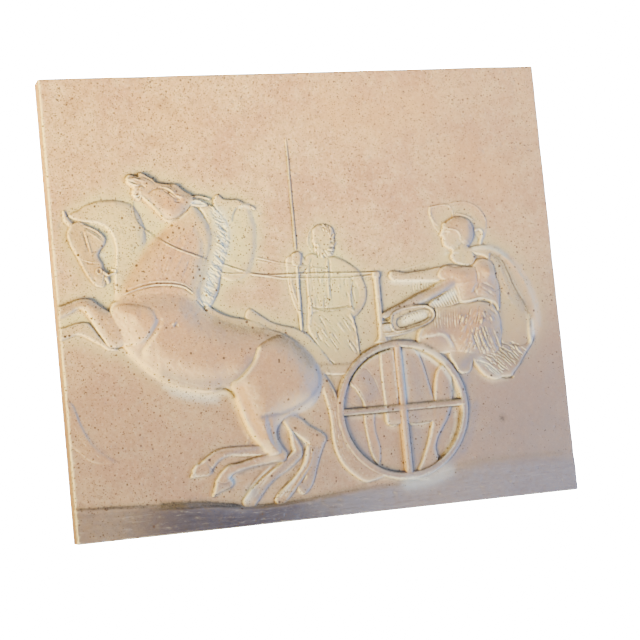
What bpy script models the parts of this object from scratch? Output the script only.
"""A cast plaster relief: a chariot with its team, two figures and a ground strip on one slab.

The front faces -Y, the flat back lies in the plane Y = 0, and the origin is the middle of the back.
The figures are drawn on a squared sheet and enlarged onto the slab. Their heights are given in parts
of the depth of the carving, and the whole front is one height field over X and Z.
"""

import math

import bmesh
import bpy
import numpy as np

# The slab, in metres
SLAB_WIDTH = 0.700
SLAB_HEIGHT = 0.600
SLAB_THICKNESS = 0.035
EDGE_ROUNDING = 0.002

# The carving, in metres
RELIEF_DEPTH = 0.0142
STRIP_HEIGHT = 0.034
STRIP_PROUD = 0.0085
HORSE_LENGTH = 0.275
WHEEL_RADIUS = 0.0942
WHEEL_FROM_END = 0.2465
WHEEL_OVER_STRIP = 0.0048
RIM_WIDTH = 0.0094
SPOKE_WIDTH = 0.0094
WARRIOR_HEIGHT = 0.250
ATTENDANT_HEIGHT = 0.191
REIN_WIDTH = 0.0024

# The surface
PLASTER_COLOUR = (0.62, 0.43, 0.30, 1)
PLASTER_ROUGHNESS = 0.9

# How finely the front is worked out, and how many faces the finished solid keeps. What stands out
# less than PLAIN_FIELD is levelled.
CARVING_STEP = 0.0014
FRONT_FACES = 9300
CURVE_STEPS = 5
PLAIN_FIELD = 0.00004
MOST_TURNS = 4

# The squared sheet: how many squares each named size measures on it
DEPTH_PARTS = 14.2
HORSE_SQUARES = 275.0
WHEEL_SQUARES = 94.2
WARRIOR_SQUARES = 250.0
ATTENDANT_SQUARES = 191.0
STRIP_SQUARES = 34.0
WHEEL_CENTRE = (453.5, 133.0)
FLOOR_BOARD = (520.0, 205.0)
POLE_END = (365.0, 200.0)


def smooth_curve(points, closed=False):
    """A smooth curve through the points, each a row of numbers."""
    p = np.array(points, float)
    if closed:
        before, start, end, after = np.roll(p, 1, 0), p, np.roll(p, -1, 0), np.roll(p, -2, 0)
    else:
        longer = np.vstack([2 * p[0] - p[1], p, 2 * p[-1] - p[-2]])
        before, start, end, after = longer[:-3], longer[1:-2], longer[2:-1], longer[3:]
    t = (np.arange(CURVE_STEPS) / CURVE_STEPS)[None, :, None]
    before, start, end, after = (row[:, None, :] for row in (before, start, end, after))
    curve = 2 * start + (end - before) * t
    curve = curve + (2 * before - 5 * start + 4 * end - after) * t**2
    curve = curve + (3 * start - before - 3 * end + after) * t**3
    curve = 0.5 * curve.reshape(-1, p.shape[1])
    return curve if closed else np.vstack([curve, p[-1]])


def quarter_round(share, fullness=2.0):
    """A steep wall at share 0 that rounds over to a flat top at share 1."""
    return (1 - (1 - np.clip(share, 0, 1)) ** fullness) ** (1 / fullness)


def gaussian(distance, width):
    return np.exp(-((distance / width) ** 2))


class Front:
    """Heights of the front above the plain field, on a grid over X and Z. All in metres."""

    def __init__(self):
        columns = round(SLAB_WIDTH / CARVING_STEP) + 1
        rows = round(SLAB_HEIGHT / CARVING_STEP) + 1
        self.x = np.linspace(-SLAB_WIDTH / 2, SLAB_WIDTH / 2, columns)
        self.z = np.linspace(-SLAB_HEIGHT / 2, SLAB_HEIGHT / 2, rows)
        self.height = np.zeros((rows, columns))

    def window(self, points, margin):
        """The part of the grid around the points, with its X and Z, or None off the slab."""
        low = points[:, :2].min(axis=0) - margin
        high = points[:, :2].max(axis=0) + margin
        left, right = np.searchsorted(self.x, (low[0], high[0]))
        bottom, top = np.searchsorted(self.z, (low[1], high[1]))
        if left >= right or bottom >= top:
            return None
        cells = (slice(bottom, top), slice(left, right))
        return cells, self.x[None, left:right], self.z[bottom:top, None]

    def depth_inside(self, outline):
        """Distance inwards from a closed outline, negative outside it."""
        found = self.window(outline, CARVING_STEP)
        if found is None:
            return None
        cells, x, z = found
        nearest = np.full((z.shape[0], x.shape[1]), 1e9)
        inside = np.zeros(nearest.shape, bool)
        for (ax, az), (bx, bz) in zip(outline, np.roll(outline, -1, 0)):
            run, rise = bx - ax, bz - az
            length = run * run + rise * rise
            if length < 1e-14:
                continue
            t = np.clip(((x - ax) * run + (z - az) * rise) / length, 0, 1)
            nearest = np.minimum(nearest, (x - ax - t * run) ** 2 + (z - az - t * rise) ** 2)
            crossed = ((az <= z) & (z < bz)) | ((bz <= z) & (z < az))
            if bz != az:
                inside ^= crossed & (x < ax + (z - az) * run / rise)
        distance = np.sqrt(nearest)
        return cells, x, z, np.where(inside, distance, -distance)

    def along(self, path, margin):
        """Distance from a path, with the path's further columns at the nearest point."""
        found = self.window(path, margin)
        if found is None:
            return None
        cells, x, z = found
        nearest = np.full((z.shape[0], x.shape[1]), 1e9)
        columns = [np.zeros(nearest.shape) for _ in range(path.shape[1] - 2)]
        for a, b in zip(path[:-1], path[1:]):
            run, rise = b[0] - a[0], b[1] - a[1]
            length = run * run + rise * rise
            if length < 1e-14:
                continue
            t = np.clip(((x - a[0]) * run + (z - a[1]) * rise) / length, 0, 1)
            squared = (x - a[0] - t * run) ** 2 + (z - a[1] - t * rise) ** 2
            closer = squared < nearest
            nearest = np.where(closer, squared, nearest)
            for i, column in enumerate(columns):
                columns[i] = np.where(closer, a[2 + i] + t * (b[2 + i] - a[2 + i]), column)
        return cells, np.sqrt(nearest), columns

    def lay(self, cells, form, where):
        """Puts a form over what is there: the higher of the two shows."""
        there = self.height[cells]
        np.maximum(there, np.where(where, form, -1), out=there)

    def add(self, cells, form, where):
        """Adds a form to what is there."""
        self.height[cells] += np.where(where, form, 0)


class Figure:
    """A figure on the squared sheet, enlarged about one of its points, the pin."""

    def __init__(self, front, size, squares, pin, place):
        self.front = front
        self.square = size / squares
        self.part = RELIEF_DEPTH / DEPTH_PARTS
        self.pin = np.array(pin, float)
        self.place = np.array(place, float)

    def at(self, points):
        return (np.array(points, float)[..., :2] - self.pin) * self.square + self.place

    def swell(self, outline, height, shoulder, dome=0.0, reach=30.0, bosses=(), add=False):
        """A rounded form inside an outline, with a dome and bosses such as muscles on it."""
        curve = smooth_curve(self.at(outline), closed=True)
        found = self.front.depth_inside(curve)
        if found is None:
            return
        cells, x, z, depth = found
        share = np.clip(depth / (reach * self.square), 0, 1)
        level = height + dome * share * (2 - share)
        for across, up, half_width, half_height, rise in bosses:
            middle = self.at((across, up))
            over = ((x - middle[0]) / half_width) ** 2 + ((z - middle[1]) / half_height) ** 2
            level = level + rise * np.exp(-over / self.square**2)
        form = level * quarter_round(depth / (shoulder * self.square)) * self.part
        put = self.front.add if add else self.front.lay
        put(cells, form, depth > 0)

    def limb(self, path, fullness=2.0):
        """A rounded limb along a path whose rows are across, up, half width, height."""
        rows = np.array(path, float)
        scaled = np.column_stack([self.at(rows), rows[:, 2] * self.square, rows[:, 3] * self.part])
        found = self.front.along(smooth_curve(scaled), scaled[:, 2].max() + CARVING_STEP)
        if found is None:
            return
        cells, distance, (half, height) = found
        form = height * quarter_round(1 - distance / half, fullness)
        self.front.lay(cells, form, distance < half)

    def crease(self, path, half, height):
        """A soft fold added to what is there: a ridge where height is over 0, or else a groove."""
        rows = np.array(path, float)
        fade = np.sin(np.pi * np.linspace(0.12, 0.88, len(rows))) ** 0.5
        curve = smooth_curve(np.column_stack([self.at(rows), fade]))
        found = self.front.along(curve, 2.2 * half * self.square)
        if found is None:
            return
        cells, distance, (strength,) = found
        fold = height * self.part * strength * gaussian(distance, half * self.square)
        self.front.add(cells, fold, True)

    def boss(self, across, up, radius, height):
        """A small round lump, or a pit where height is under 0."""
        middle = self.at((across, up))
        found = self.front.window(middle[None, :], 2.4 * radius * self.square)
        if found is None:
            return
        cells, x, z = found
        distance = np.hypot(x - middle[0], z - middle[1])
        self.front.add(cells, height * self.part * gaussian(distance, radius * self.square), True)


def ground_strip(front):
    """The uneven strip that the team stands on, boldest under the horses."""
    length = SLAB_WIDTH
    level = STRIP_HEIGHT / STRIP_SQUARES
    line = np.array([(0.0, 46), (0.14, 41), (0.27, 35.5), (0.31, 29), (0.42, 28), (0.50, 32),
                     (0.64, 38), (0.70, 42), (0.77, 51), (0.86, 54), (1.0, 52)])
    proud = np.array([(0.0, 0.25), (0.07, 0.35), (0.13, 0.7), (0.28, 1.0), (0.37, 0.9),
                      (0.45, 0.6), (0.52, 0.4), (0.75, 0.3), (1.0, 0.22)])
    slope = np.array([(0.0, 4), (0.17, 9), (0.3, 8), (0.45, 6), (0.6, 8), (0.75, 12), (1.0, 16)])
    share = (front.x + length / 2) / length
    line, proud, slope = (smooth_curve(rows) for rows in (line, proud, slope))
    top = np.interp(share, line[:, 0], line[:, 1]) * level - SLAB_HEIGHT / 2
    rise = np.interp(share, proud[:, 0], proud[:, 1]) * STRIP_PROUD
    run = np.interp(share, slope[:, 0], slope[:, 1]) * level
    t = np.clip((top[None, :] - front.z[:, None]) / run[None, :], 0, 1)
    front.height = np.maximum(front.height, rise[None, :] * t * t * (3 - 2 * t))


def tail_of_team_ahead(team):
    team.swell([(-12, 182), (8, 178), (17, 150), (30, 124), (56, 102), (44, 98), (24, 104), (4, 124),
                (-12, 140)], 1.8, 3)
    for lock in range(3):
        team.crease([(2 + 5 * lock, 168 - 6 * lock), (14 + 6 * lock, 136), (30 + 6 * lock, 112)], 1.6, -0.8)


def far_left_horse(team):
    """The leading horse: an arched neck and a head tucked in."""
    team.swell([(24, 420), (38, 427), (64, 437), (80, 437.5), (95, 435), (108, 429), (118, 412), (122, 390),
                (118, 360), (105, 330), (90, 305), (78, 306), (76, 325), (81, 362), (82, 376), (80, 388),
                (75, 398), (66, 405.5), (54, 410), (38, 412)], 4.2, 4, dome=1.2, reach=22)
    team.swell([(38, 412), (28, 409), (21, 398), (22, 385), (28, 371), (40, 345), (46, 334), (52, 327),
                (58, 325), (63, 327), (64, 336), (60, 354), (57, 361), (58, 367), (63, 372), (68, 380),
                (68, 388), (62, 396.5), (52, 403.5)], 7.0, 4.5, dome=1.0, reach=12,
               bosses=[(55, 385, 13, 11, 1.4), (40, 368, 6, 14, 0.8)])
    team.limb([(26, 408, 3, 7), (20, 416, 4, 7.5), (18, 426, 1.2, 5)])
    team.crease([(50, 372), (58, 372), (64, 375)], 1.3, -1.6)
    team.crease([(62, 343), (62.5, 335), (60, 326)], 1.4, -1.8)
    team.boss(48.5, 335.5, 2.8, -2.2)
    team.limb([(54, 347, 2.6, 8.6), (60, 346, 2.2, 8.4), (67, 341, 2.2, 7.5), (78, 345, 2.0, 6.8)])


def third_horse_head(team):
    team.swell([(212, 418), (224, 431), (240, 430), (262, 422), (268, 408), (271, 392), (270, 375), (267, 358),
                (262, 342), (252, 328), (232, 322), (212, 335), (204, 365), (204, 395)], 2.0, 15, dome=0.4)
    team.swell([(219, 434), (223, 438), (230, 432), (239, 430.5), (249, 430), (264, 421), (262, 417.5),
                (252, 419), (242, 408), (240, 400), (235, 399), (228, 408), (217, 427)], 3.6, 3)
    team.limb([(250, 421.5, 2.0, 4.0), (258, 422, 3.2, 5.0), (266, 419.5, 2.6, 4.8), (273, 416, 0.8, 3.2)])


def backs_of_far_horses(team):
    team.swell([(262, 276), (270, 271.5), (280, 264.5), (306, 256), (319, 250.5), (330, 243), (340, 231.5),
                (356, 208), (361, 199), (345, 190), (320, 225), (290, 240), (262, 255)], 2.6, 3, dome=0.8)
    team.swell([(194, 291), (202, 287.5), (212, 281), (224, 275.5), (252, 268.5), (264, 263.5), (284, 252),
                (296, 245), (280, 235), (220, 245), (190, 265)], 4.6, 2.4, dome=0.8)


def hind_legs(team):
    """Four hind legs folded back under the team, from the farthest to the nearest."""
    team.swell([(284, 131), (306, 107.5), (318, 97), (330, 94), (341, 102), (337, 111), (318, 124), (311, 131),
                (300, 139)], 4.2, 4, dome=0.6)
    team.limb([(330, 100, 8, 5.0), (317, 66, 6.2, 4.2), (311, 50, 6.6, 3.8), (303, 42, 8, 3.2)])
    team.limb([(319, 92, 7.0, 5.4), (312, 74, 5.6, 5.0), (301, 59, 5.4, 4.6), (280, 39, 7.6, 4.4),
               (270, 30, 7.0, 3.6)])
    team.swell([(284, 133), (290, 120), (293, 96), (297, 86), (304, 84), (306, 91), (303, 101), (292, 124)],
               5.4, 3)
    team.limb([(299, 87, 7.0, 5.8), (282, 74, 6.6, 5.6), (250, 53, 6.6, 5.2), (238, 42, 8.6, 5.0),
               (228, 31, 8.6, 4.0)])
    team.limb([(256, 96, 6.5, 5.4), (228, 98, 6.2, 5.2), (205, 99, 5.8, 5.2), (190, 95, 7.0, 5.4),
               (177, 85, 8.2, 5.4), (162, 77, 6.6, 4.2)])
    team.swell([(153, 70), (161, 86), (170, 87), (179, 84), (182, 76), (177, 71)], 5.2, 3)
    team.limb([(276, 87, 8.4, 8.6), (262, 85.5, 6.4, 8.2), (240, 82.5, 5.2, 7.8), (220, 78.5, 5.2, 7.8),
               (207, 75.5, 6.8, 8.2), (198, 68, 6.6, 8.0), (192, 60, 6.8, 7.6)])
    team.swell([(180, 43), (187, 62), (195, 66), (204, 64), (208, 57), (205, 52)], 7.8, 3)


def pole(car):
    car.swell([(336, 203.5), (368, 201.5), (392, 200), (392, 188), (366, 187), (336, 192)], 2.8, 2)


def near_neck(team):
    team.swell([(74, 302), (82, 316), (103, 351), (116, 368), (142, 390.5), (158, 404), (177, 417), (187, 425),
                (197, 418), (205, 407), (211, 395), (213, 383), (211, 371), (202, 349), (194, 325), (186, 298),
                (165, 292), (120, 292), (88, 294)], 8.6, 15, dome=1.0,
               bosses=[(150, 340, 28, 38, 0.8)])
    team.crease([(200, 372), (192, 345), (183, 320)], 4, -0.8)


def mane(team):
    """Combed locks, each a tapered ridge from the crest of the neck to the mane's free edge."""
    team.swell([(188, 434), (204, 431), (217, 423), (229, 412), (237, 402), (238, 381.5), (229, 362),
                (230, 352), (216, 331), (208, 307), (196, 290), (187, 291), (187, 310), (200, 350), (211, 380),
                (210, 396), (203, 409), (192, 422)], 5.8, 3.2, dome=0.8)
    crest = smooth_curve([(192, 424), (210, 397), (212, 382), (201, 350), (189, 312), (187, 294)])
    edge = smooth_curve([(212, 428), (231, 411), (239, 380), (226, 345), (208, 306), (198, 289)])
    locks = 15
    for lock in range(locks):
        fat = (3.3, 2.3, 2.8)[lock % 3]
        root = crest[round((lock + 0.3) / locks * (len(crest) - 1))]
        tip = edge[round(min((lock + 1.2) / locks, 1) * (len(edge) - 1))]
        middle = (root + tip) / 2 + (0.5, 1.6)
        team.limb([(*root, 0.9 * fat, 7.8), (*middle, fat, 7.6), (*tip, 0.4 * fat, 5.2)])


def near_body(team):
    """The near horse's barrel, shoulder and hindquarter, down to the hock."""
    team.swell([(70, 302), (77, 307), (90, 312.5), (108, 317.5), (128, 320), (150, 318.5), (167, 314.5),
                (177, 307), (193, 285), (204, 277), (218, 269.5), (250, 260.5), (280, 254), (293, 249),
                (305, 241.5), (325, 221), (333, 209), (339, 197), (341, 183), (339, 170), (333, 159),
                (324, 151), (312, 145), (285, 134), (276.5, 127), (273, 118), (274, 108), (279, 98),
                (285, 89), (276, 83), (262, 87), (256, 93), (240, 114), (231, 135), (224, 160), (221, 170),
                (216, 178), (209, 181.5), (190, 178), (165, 182.5), (136, 194.5), (108, 214.5), (85, 240),
                (79, 251), (74, 265), (66, 291)], 9.4, 8, dome=2.2, reach=45,
               bosses=[(120, 290, 38, 26, 0.8), (175, 225, 60, 34, 0.8), (290, 195, 38, 42, 0.8)])
    team.swell([(66, 288), (80, 250), (94, 247), (106, 251), (116, 262), (124, 276), (118, 292), (96, 300),
                (76, 300)], 0.9, 18, add=True)
    team.crease([(129, 275), (112, 252), (103, 240), (102, 229)], 3.6, -1.5)
    team.crease([(64, 246), (76, 246), (91, 248)], 1.4, -3.0)
    team.swell([(266, 238), (257, 230), (249, 214), (240, 203.5), (229, 194), (217, 186), (220, 172),
                (233, 130), (258, 90), (276, 92), (272, 115), (284, 133), (322, 150), (340, 175), (336, 205),
                (318, 231), (292, 246)], 1.3, 12, add=True)
    team.crease([(256, 229), (249, 214), (240, 203.5), (229, 194), (219, 186)], 2.2, -1.0)
    team.crease([(334, 171), (315, 151.5), (300, 145), (284, 140), (254, 141)], 2.0, -1.1)
    team.crease([(262, 137), (265, 120), (268, 105)], 3.0, -0.9)


def forelegs(team):
    team.swell([(62, 248), (54, 256), (40, 277), (34, 281), (22, 281), (8, 277), (-12, 273), (-12, 258),
                (10, 263), (22, 266), (31, 263), (50, 251), (60, 243.5), (72, 243)], 5.2, 4)
    team.swell([(68, 292), (58, 298), (44, 310), (36, 312), (26, 311.5), (12, 307), (-12, 300), (-12, 286),
                (14, 293), (26, 298.5), (33, 296), (39, 287), (62, 247), (78, 247), (86, 256), (80, 276)],
               8.6, 6, dome=1.0, reach=10)
    team.boss(36, 303, 5.5, 1.0)


def collar(team):
    band = [(75, 307), (90, 314), (108, 319.5), (128, 322.2), (150, 320.7), (166, 316.5), (176, 309)]
    team.crease(band, 1.4, 1.5)
    team.crease([(across, up + 4) for across, up in band], 1.4, 1.2)


def near_head(team):
    team.swell([(104, 462.5), (107, 469), (112, 470.5), (117, 468.5), (121, 471.5), (133, 465), (148, 456.5),
                (167, 454), (173, 450), (185, 437.5), (190, 433), (181, 422), (168, 410.5), (160, 407),
                (153, 406.5), (147, 410.5), (126, 434), (119, 440), (112, 442), (109, 447), (112, 452),
                (106, 456)], 8.4, 4.5, dome=1.2, reach=14,
               bosses=[(159, 423, 17, 13, 1.4), (177, 440, 7, 6, 1.0), (140, 445, 12, 8, -0.7)])
    team.crease([(103, 461.5), (112, 458), (120, 455)], 1.4, -2.4)
    team.boss(109.5, 466.2, 1.8, -1.6)
    team.limb([(112, 457, 1.6, 10), (116, 450, 2.0, 10.3), (119, 444, 2.0, 10), (116, 440, 1.6, 8)])
    team.boss(171.5, 433.5, 3.0, 1.2)
    team.limb([(182, 430, 2.2, 9), (190, 431, 3.8, 10.5), (199, 428.5, 4.0, 10.5), (208, 424.5, 1.4, 7.5)])
    team.limb([(186, 436, 2.0, 8.5), (196, 437, 2.0, 8.2), (213, 432, 1.2, 5)])


def tail(team):
    team.swell([(336, 205), (341, 199), (358, 168), (364, 150), (366, 120), (372, 95), (386, 72), (404, 56),
                (420, 48), (402, 42), (388, 42), (372, 54), (361, 67), (353, 84), (350, 105), (350, 130),
                (343, 166), (338, 182)], 5.0, 4, dome=0.6)


def attendant(man):
    """A standing man in a pleated tunic, very low, who holds a tall spear before him."""
    man.swell([(336, 345), (344, 352), (362, 345), (378, 346.5), (390, 341), (409, 327), (415, 313),
               (418.5, 299), (416.5, 285), (411, 275), (397, 262), (400, 215), (398, 200), (372, 196),
               (350, 215), (338, 236), (331, 252), (333, 275), (335, 325)], 2.2, 3, dome=0.6)
    man.swell([(309, 345), (309, 320), (315, 284), (321, 272), (325, 290), (324, 320), (334, 330), (336, 345),
               (326, 352), (316, 351)], 1.6, 3)
    man.swell([(398, 318), (406, 306), (408, 290), (403, 277), (396, 272), (394, 285), (395, 302)], -1.3, 4,
              add=True)
    man.crease([(367, 346), (365, 325), (364, 300), (361, 279)], 1.5, 0.9)
    man.crease([(341, 276), (350, 279), (362, 277.5), (375, 275), (388, 276.5), (397, 271)], 1.6, 1.0)
    pleats = 6
    for pleat in range(pleats):
        left = 345 + 44 * pleat / (pleats - 1)
        right = 366 + 30 * pleat / (pleats - 1)
        man.crease([(left, 270), ((left + right) / 2, 250), (right, 224)], 1.8, -0.9)
    man.swell([(350, 384), (356, 389), (363, 391), (371, 390), (377.5, 386), (380.5, 379), (379, 359),
               (377, 351), (371, 347), (363, 347), (353, 353), (350.5, 358), (350, 364), (348.5, 369),
               (350, 376)], 3.4, 4, dome=0.5)
    for turn in range(-150, 61, 30):
        man.boss(366 + 12 * math.cos(math.radians(turn)), 367 + 16 * math.sin(math.radians(turn)), 2.4, 0.8)
    man.limb([(325.5, 511, 1.2, 1.4), (325.3, 480, 1.7, 2.2), (324.3, 350, 1.9, 2.8), (322, 290, 1.8, 2.8),
              (321.6, 251, 1.6, 2.4)])
    man.swell([(318, 338), (317, 346), (319, 353), (326, 356), (331, 352), (330, 344), (328, 337)], 3.4, 3)


def cloak(warrior):
    """A cloak that bellies out behind, with a rolled rim, a hollow lining and folds at the foot."""
    warrior.swell([(572, 346), (594, 350), (606, 348), (617, 343), (637, 325), (654, 301), (665, 272),
                   (668, 242), (665, 230), (653, 209), (637, 189), (621, 170), (617, 163.5), (590, 163),
                   (578, 168), (564, 188), (561, 198), (570, 215), (590, 240), (600, 300), (598, 330),
                   (580, 338)], 6.4, 5, dome=0.6)
    warrior.swell([(602, 338), (611, 334), (619, 326), (628, 297), (640, 270), (652, 244), (651, 228),
                   (650, 212), (640, 203), (620, 206), (610, 214), (609, 240), (612, 300), (606, 322)],
                  -3.0, 6, add=True)
    warrior.limb([(574, 343.5, 4, 8), (590, 344.5, 4.4, 8.4), (604, 342.5, 4.4, 8.6), (616, 337, 4.4, 8.8),
                  (627, 328, 5.2, 9), (638, 314, 7, 9.2), (654, 280, 8, 9), (660, 245, 6.4, 8.0),
                  (658, 230, 5, 7)])
    warrior.crease([(647, 250), (649.5, 238), (648.5, 224), (652, 212)], 2.2, 1.6)
    warrior.crease([(612, 309), (620, 292), (622, 280), (643, 250)], 2.2, 1.1)
    for fold in range(6):
        warrior.crease([(570 + 6.5 * fold, 197 + 1.5 * fold), (584 + 7 * fold, 186 + 2.6 * fold),
                        (596 + 8.5 * fold, 168 + 5 * fold)], 2.2, -2.2)


def warrior_body(warrior):
    """A kneeling thrust of the body: kilt, thigh, trunk and two arms stretched to the left."""
    warrior.swell([(484, 214), (485, 230), (489, 238.5), (507, 250.5), (514, 258), (513, 268), (530, 268),
                   (552, 271), (578, 272), (600, 266), (608, 250), (609, 232), (607, 214), (598, 200),
                   (566, 198), (534, 204), (500, 205)], 8.4, 6, dome=1.6, reach=22,
                  bosses=[(550, 235, 22, 26, 1.0)])
    warrior.swell([(530, 215), (528, 200), (534, 188), (541, 176), (556, 176), (562, 190), (566, 205)],
                  6.0, 5)
    warrior.crease([(489, 231), (504, 233), (519, 231), (528, 222), (533, 208)], 3.0, 0.9)
    for pleat in range(9):
        turn = math.radians(-118 + 7 * pleat)
        reach = (16, 38, 60)
        path = [(557 + 2.5 * pleat + far * math.cos(turn), 266 + far * math.sin(turn)) for far in reach]
        warrior.crease(path, 2.0, -1.3)
    warrior.swell([(522, 311), (528, 305), (538, 301), (545, 296), (550, 285), (552, 273), (566, 271),
                   (582, 274), (600, 268), (607, 256), (612, 290), (606, 322), (596, 330), (584, 330),
                   (574, 322), (540, 325), (528, 321)], 9.6, 6, dome=1.2, reach=18,
                  bosses=[(556, 306, 17, 12, 1.3)])
    warrior.crease([(539, 325), (550, 321.5), (562, 322.5), (575, 320.5)], 1.6, -1.6)
    warrior.crease([(552, 272), (566, 273.5), (580, 276.5), (592, 272.5), (601, 268)], 1.8, 1.6)
    warrior.swell([(505, 270.5), (512, 277.5), (531, 287), (538.5, 296), (545, 296), (550, 288), (553, 274),
                   (540, 268.5), (522, 266.5)], 7.0, 2.5)
    for flap in range(5):
        share = flap / 4
        warrior.crease([(509 + 33 * share, 276 + 17 * share), (514 + 36 * share, 267 + 5 * share)], 1.6, -1.8)
    warrior.swell([(586, 311), (588, 318), (594, 321.5), (602, 321), (607.5, 315), (607, 307), (602, 301.5),
                   (594, 300.5), (588, 304)], 13.0, 6, dome=0.6)
    warrior.swell([(452, 314), (455, 320.5), (463, 321.5), (475, 318), (510, 320.5), (528, 322.5), (535, 312),
                   (526, 304), (488, 305.5), (458, 308)], 5.0, 5, dome=0.6)
    warrior.limb([(548, 304, 11, 10.4), (532, 297, 8.6, 10), (512, 288, 7.4, 9.6), (492, 281, 7.2, 9.4),
                  (472, 273, 6.0, 9.0), (455, 267, 5.0, 8.6), (443, 263, 4.6, 8.2), (437, 262, 3.2, 7.4)],
                 fullness=2.4)


def warrior_head(warrior):
    """A crested helmet over a calm, plain profile."""
    warrior.swell([(520, 398), (521, 405), (526, 408), (549, 409), (572, 412), (583, 409), (592, 403.5),
                   (600, 394), (604.5, 383), (603, 370), (597, 356), (588, 350), (548, 356), (530, 372),
                   (523, 384)], 2.0, 3)
    warrior.swell([(539, 374), (541, 381), (547, 387), (555, 390.5), (563, 391), (571, 389), (578, 384),
                   (582, 376), (583, 367), (580, 358), (575, 351), (568, 350), (548, 360), (540, 366)],
                  8.4, 7, dome=1.0, reach=16)
    warrior.swell([(541, 384), (534.5, 371), (532.5, 366), (535.5, 364), (536, 358.5), (535.5, 355),
                   (537.5, 351), (543, 347.5), (550, 346), (566, 358), (566, 372), (556, 382)], 6.6, 3.4,
                  dome=1.0, reach=12)
    warrior.swell([(546, 352), (548, 342), (545, 336), (552, 326), (574, 322), (582, 332), (577, 342),
                   (570, 352), (560, 356)], 6.4, 5)
    warrior.crease([(586, 371), (592, 372), (596, 368), (595.5, 362), (592.5, 356), (591.5, 351)], 2.0, 2.2)


def wheel(car):
    """A flat rim and four spokes over a sunk field, in which the floor board and a leg show."""
    front = car.front
    centre = car.place
    radius = WHEEL_RADIUS
    inner = radius - RIM_WIDTH
    reach = np.array([centre - radius, centre + radius])
    cells, x, z = front.window(reach, CARVING_STEP)
    distance = np.hypot(x - centre[0], z - centre[1])
    sunk = 1.2 * car.part
    field = np.clip((inner - distance) / (2 * CARVING_STEP), 0, 1)
    there = front.height[cells]
    there[:] = there * (1 - field) + np.minimum(there, 0) * field - sunk * field
    car.swell([(429.5, 214), (447, 216), (447, 116), (430, 114.5)], 3.0, 1.8)
    car.swell([(459, 214), (480, 212), (494, 170), (498, 114), (459, 114)], 1.8, 3.5)
    car.swell([(502, 138), (505, 172), (510, 183), (517, 188.5), (525, 186), (529, 176), (524, 138)], 4.2, 4)
    car.swell([(500, 138), (491, 104), (476, 64), (494, 56), (497, 70), (500, 92), (519, 120), (524, 138)],
              3.6, 4, dome=0.8, reach=8)
    for offset in (x - centre[0], z - centre[1]):
        spoke = 7.4 * car.part * quarter_round(1 - np.abs(offset) / (SPOKE_WIDTH / 2), 4)
        front.lay(cells, spoke, (np.abs(offset) < SPOKE_WIDTH / 2) & (distance < radius - RIM_WIDTH / 2))
    from_middle = np.abs(distance - (radius - RIM_WIDTH / 2)) / (RIM_WIDTH / 2)
    front.lay(cells, 8.6 * car.part * quarter_round(1 - from_middle, 3.2), from_middle < 1)


def chariot_body(car):
    """The pole, the front post with its flared foot, and the looped hand rail."""
    car.swell([(424, 226), (429, 232), (430.5, 250), (430.5, 314), (430, 321), (437.5, 321), (437, 314),
               (437, 236), (440, 230), (440, 226)], 7.4, 2.4)
    car.swell([(429, 314), (429, 321.5), (438, 321.5), (438, 314)], 8.4, 2.2)
    car.swell([(434, 234), (452, 233), (486, 240), (507, 247.5), (513, 255), (513, 263), (509, 269),
               (500, 271.5), (470, 269.5), (458, 267), (450, 262.5), (448, 254), (434, 253)], 5.4, 2.4)
    rail = [(449, 258), (452, 264), (462, 268), (476, 270.2), (490, 271), (501, 270), (508, 266), (511, 260),
            (509.5, 253.5), (503, 248.5), (492, 244.5), (478, 241.5), (463, 238.8), (452, 240), (448, 246),
            (447.6, 252), (449, 258)]
    car.limb([(across, up, 2.4, 8.0) for across, up in rail])
    car.swell([(456, 252.5), (459, 256.5), (468, 259.8), (492, 265), (501, 264.2), (505, 260.5), (503.5, 255),
               (496, 250.5), (468, 243.6), (459.5, 243.5), (456, 247.5)], -3.6, 2.0, add=True)
    car.swell([(436, 240), (436, 249.5), (442, 251), (448, 249.5), (448, 240), (442, 239)], 6.6, 1.8)


def reins(team, car):
    """A short rein from the bit across the neck, and two long ones on to the chariot's post."""
    short = team.at([(112, 441), (109, 422), (115, 404), (130, 390), (150, 375), (176, 362), (201, 352)])
    upper = np.vstack([team.at([(222, 344.5), (250, 333.5), (282, 326.5), (320, 325.7)]),
                       car.at([(370, 323.5), (430, 321)])])
    lower = np.vstack([team.at([(218, 333), (250, 330.5), (286, 324.5), (320, 319.7)]),
                       car.at([(370, 316.8), (430, 317.5)])])
    for height, points in ((1.9, short), (1.5, upper), (1.3, lower)):
        cells, distance, _ = team.front.along(smooth_curve(points), REIN_WIDTH)
        team.front.add(cells, height * team.part * gaussian(distance, REIN_WIDTH / 2), True)


def soften(front):
    """The cast's arrises and hollows, worn a little round."""
    for axis in (0, 1):
        there = np.moveaxis(front.height, axis, 0)
        there[1:-1] = (there[:-2] + 2 * there[1:-1] + there[2:]) / 4
    front.height[np.abs(front.height) < PLAIN_FIELD] = 0


def round_off_edges(front):
    """The slab's front edges, softly rounded."""
    side = np.minimum(front.x - front.x[0], front.x[-1] - front.x)[None, :]
    end = np.minimum(front.z - front.z[0], front.z[-1] - front.z)[:, None]
    from_edge = np.minimum(side, end)
    front.height -= EDGE_ROUNDING * (1 - quarter_round(from_edge / EDGE_ROUNDING))


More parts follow.
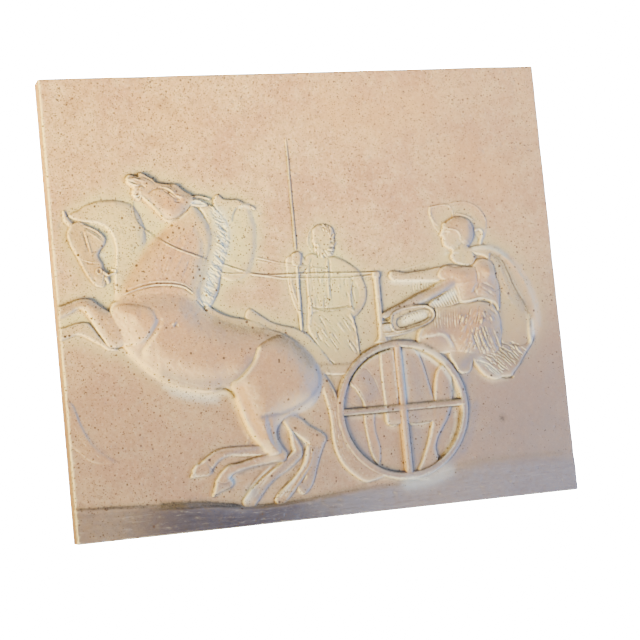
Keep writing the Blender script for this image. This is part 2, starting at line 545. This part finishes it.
def carve():
    """The whole front, from the farthest forms to the nearest."""
    front = Front()
    strip_top = STRIP_HEIGHT - SLAB_HEIGHT / 2
    hub = (SLAB_WIDTH / 2 - WHEEL_FROM_END, strip_top + WHEEL_OVER_STRIP + WHEEL_RADIUS)
    car = Figure(front, WHEEL_RADIUS, WHEEL_SQUARES, WHEEL_CENTRE, hub)
    hitch = (WHEEL_CENTRE[0] - WHEEL_SQUARES, STRIP_SQUARES)
    team = Figure(front, HORSE_LENGTH, HORSE_SQUARES, hitch, (hub[0] - WHEEL_RADIUS, strip_top))
    warrior = Figure(front, WARRIOR_HEIGHT, WARRIOR_SQUARES, FLOOR_BOARD, car.at(FLOOR_BOARD))
    man = Figure(front, ATTENDANT_HEIGHT, ATTENDANT_SQUARES, POLE_END, car.at(POLE_END))
    tail_of_team_ahead(team)
    third_horse_head(team)
    attendant(man)
    backs_of_far_horses(team)
    ground_strip(front)
    pole(car)
    far_left_horse(team)
    hind_legs(team)
    near_neck(team)
    mane(team)
    near_body(team)
    forelegs(team)
    collar(team)
    near_head(team)
    tail(team)
    cloak(warrior)
    warrior_body(warrior)
    warrior_head(warrior)
    wheel(car)
    chariot_body(car)
    reins(team, car)
    soften(front)
    round_off_edges(front)
    return front


def sheet_of(front):
    """The carved front as one sheet of square faces."""
    rows, columns = front.height.shape
    x, z = np.meshgrid(front.x, front.z)
    y = -SLAB_THICKNESS - front.height
    index = np.arange(rows * columns).reshape(rows, columns)
    squares = np.stack([index[:-1, :-1], index[:-1, 1:], index[1:, 1:], index[1:, :-1]], axis=-1)
    mesh = bpy.data.meshes.new("sheet")
    mesh.from_pydata(np.stack([x, y, z], axis=-1).reshape(-1, 3), [], squares.reshape(-1, 4))
    return mesh


def fewer_faces(mesh):
    """The same sheet with faces only where the carving needs them."""
    helper = bpy.data.objects.new("helper", mesh)
    bpy.context.scene.collection.objects.link(helper)
    decimate = helper.modifiers.new("Decimate", "DECIMATE")
    decimate.ratio = FRONT_FACES / (2 * len(mesh.polygons))
    decimate.use_collapse_triangulate = True
    lighter = bpy.data.meshes.new_from_object(helper.evaluated_get(bpy.context.evaluated_depsgraph_get()))
    bpy.data.objects.remove(helper)
    return lighter


def to_edge(value, half):
    """The slab's edge where the value lies at it, or else the value as it is."""
    return math.copysign(half, value) if half - abs(value) < CARVING_STEP / 4 else value


def unfold(form):
    """Turns the longest edge of each narrow face that folded over, so that no part overhangs."""
    for _ in range(MOST_TURNS):
        form.normal_update()
        for face in [face for face in form.faces if face.normal.y > 0]:
            if face.is_valid:
                longest = max(face.edges, key=bmesh.types.BMEdge.calc_length)
                bmesh.utils.edge_rotate(longest, False)


def slab_of(sheet):
    """The sheet with the slab's four sides and its flat back, closed."""
    form = bmesh.new()
    form.from_mesh(sheet)
    unfold(form)
    rim = [edge for edge in form.edges if edge.is_boundary]
    for vert in {vert for edge in rim for vert in edge.verts}:
        vert.co.x = to_edge(vert.co.x, SLAB_WIDTH / 2)
        vert.co.z = to_edge(vert.co.z, SLAB_HEIGHT / 2)
    sides = bmesh.ops.extrude_edge_only(form, edges=rim)["geom"]
    behind = [item for item in sides if isinstance(item, bmesh.types.BMVert)]
    for vert in behind:
        vert.co.y = 0
    loop = [item for item in sides if isinstance(item, bmesh.types.BMEdge) and item.is_boundary]
    bmesh.ops.edgeloop_fill(form, edges=loop)
    bmesh.ops.recalc_face_normals(form, faces=form.faces)
    mesh = bpy.data.meshes.new("plaster_frieze")
    form.to_mesh(mesh)
    form.free()
    return mesh


def plaster():
    material = bpy.data.materials.new("plaster")
    material.use_nodes = True
    shader = material.node_tree.nodes["Principled BSDF"]
    shader.inputs["Base Color"].default_value = PLASTER_COLOUR
    shader.inputs["Roughness"].default_value = PLASTER_ROUGHNESS
    shader.inputs["Metallic"].default_value = 0.0
    return material


def build():
    for old in list(bpy.data.objects):
        bpy.data.objects.remove(old)
    mesh = slab_of(fewer_faces(sheet_of(carve())))
    mesh.materials.append(plaster())
    slab = bpy.data.objects.new("plaster_frieze", mesh)
    bpy.context.scene.collection.objects.link(slab)
    mesh.shade_smooth()
    mesh.set_sharp_from_angle(angle=math.radians(40))


build()
